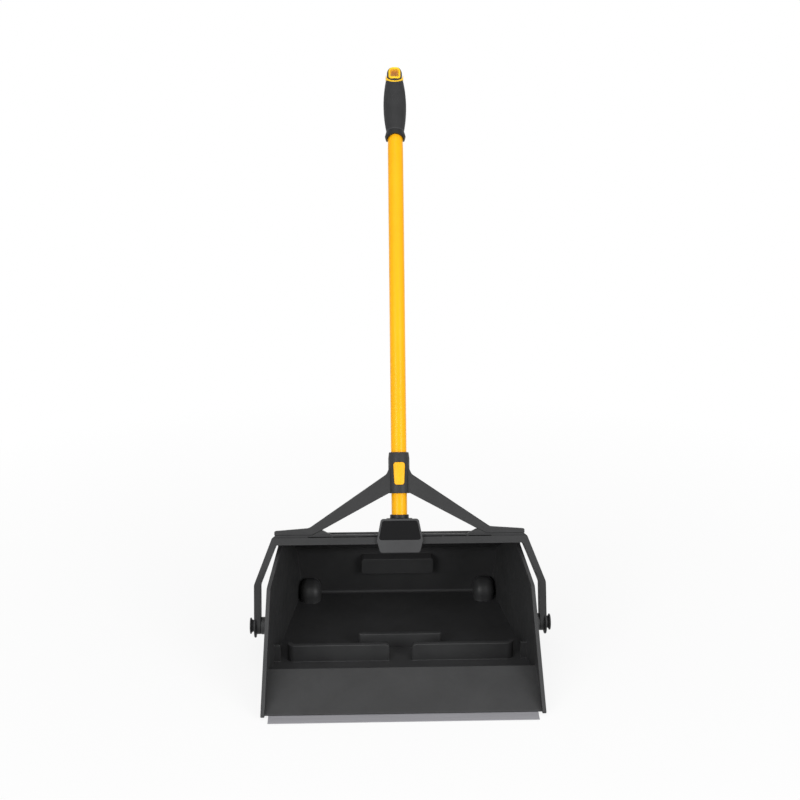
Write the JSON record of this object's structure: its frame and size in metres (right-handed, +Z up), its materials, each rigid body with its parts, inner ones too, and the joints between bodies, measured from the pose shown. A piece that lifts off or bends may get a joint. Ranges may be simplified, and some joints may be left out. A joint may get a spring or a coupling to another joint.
{
  "type": "lobby dustpan",
  "caption": "Stand-up hooded dustpan with a flexible lip, rear wheels, a swinging yoke, a bent tube handle with a push button, and a soft grip with a hang eyelet.",
  "frame": {"origin": "centre of the lip's flat underside, on the floor", "axes": "+X to the object's right seen from behind the mouth's opening (viewer's right in front of it), +Y from the mouth towards the back, +Z up"},
  "size_m": [0.485, 0.5643, 0.9145],
  "materials": {
    "pan_plastic": "black moulded plastic, fine satin grain",
    "lip_vinyl": "grey flexible vinyl, satin",
    "rivet_metal": "satin aluminium",
    "pin_steel": "bright zinc-plated steel",
    "hub_plastic": "grey moulded plastic",
    "tyre_rubber": "black rubber",
    "pin_plastic": "dark moulded plastic",
    "bush_plastic": "pale bearing plastic",
    "yoke_plastic": "dark grey moulded plastic, satin",
    "ring_plastic": "black moulded plastic",
    "cover_plastic": "grey moulded plastic, satin",
    "label_plastic": "bare dark plate, satin gloss",
    "tube_enamel": "yellow powder coat, semi-gloss",
    "grip_rubber": "black soft-touch rubber with a diamond grip field",
    "core_plastic": "yellow moulded plastic",
    "cap_plastic": "black moulded plastic",
    "button_plastic": "yellow moulded plastic, satin gloss"
  },
  "bodies": {
    "pan": {"pan_shell": "pan_plastic", "lip_strip": "lip_vinyl", "lip_rivets": "rivet_metal", "wheel_axle_left": "pin_steel", "wheel_axle_right": "pin_steel", "pivot_pin_left": "pin_plastic", "pivot_pin_right": "pin_plastic"},
    "wheel_left": {"wheel_hub_left": "hub_plastic", "wheel_tyre_left": "tyre_rubber"},
    "wheel_right": {"wheel_hub_right": "hub_plastic", "wheel_tyre_right": "tyre_rubber"},
    "handle": {"bail": "yoke_plastic", "pivot_bush_left": "bush_plastic", "pivot_bush_right": "bush_plastic", "brace": "yoke_plastic", "brace_screws": "pin_steel", "socket_ring": "ring_plastic", "socket_cover": "cover_plastic", "label_plate": "label_plastic", "cover_screws": "pin_steel", "tube": "tube_enamel", "grip_ring": "ring_plastic", "grip_sleeve": "grip_rubber", "grip_core": "core_plastic", "grip_cap": "cap_plastic", "button_spring": "pin_steel"},
    "button": {"release_button": "button_plastic"}
  },
  "joints": [
    {"name": "handle_tilt", "type": "hinge", "parent": "pan", "child": "handle", "pos_m": [0, 0.162, 0.0664], "axis": [1, 0, 0], "range_deg": [0, 90]},
    {"name": "button_press", "type": "slide", "parent": "handle", "child": "button", "axis": [0, 0.9239, -0.3827], "range_m": [0, 0.002], "stiffness_N_per_m": 1500, "springref_m": -0.001, "deforming": ["button_spring"]},
    {"name": "left_wheel_spin", "type": "hinge", "parent": "pan", "child": "wheel_left", "pos_m": [-0.154, 0.37, 0.0185], "axis": [1, 0, 0], "continuous": true},
    {"name": "right_wheel_spin", "type": "hinge", "parent": "pan", "child": "wheel_right", "pos_m": [0.154, 0.37, 0.0185], "axis": [1, 0, 0], "continuous": true}
  ]
}
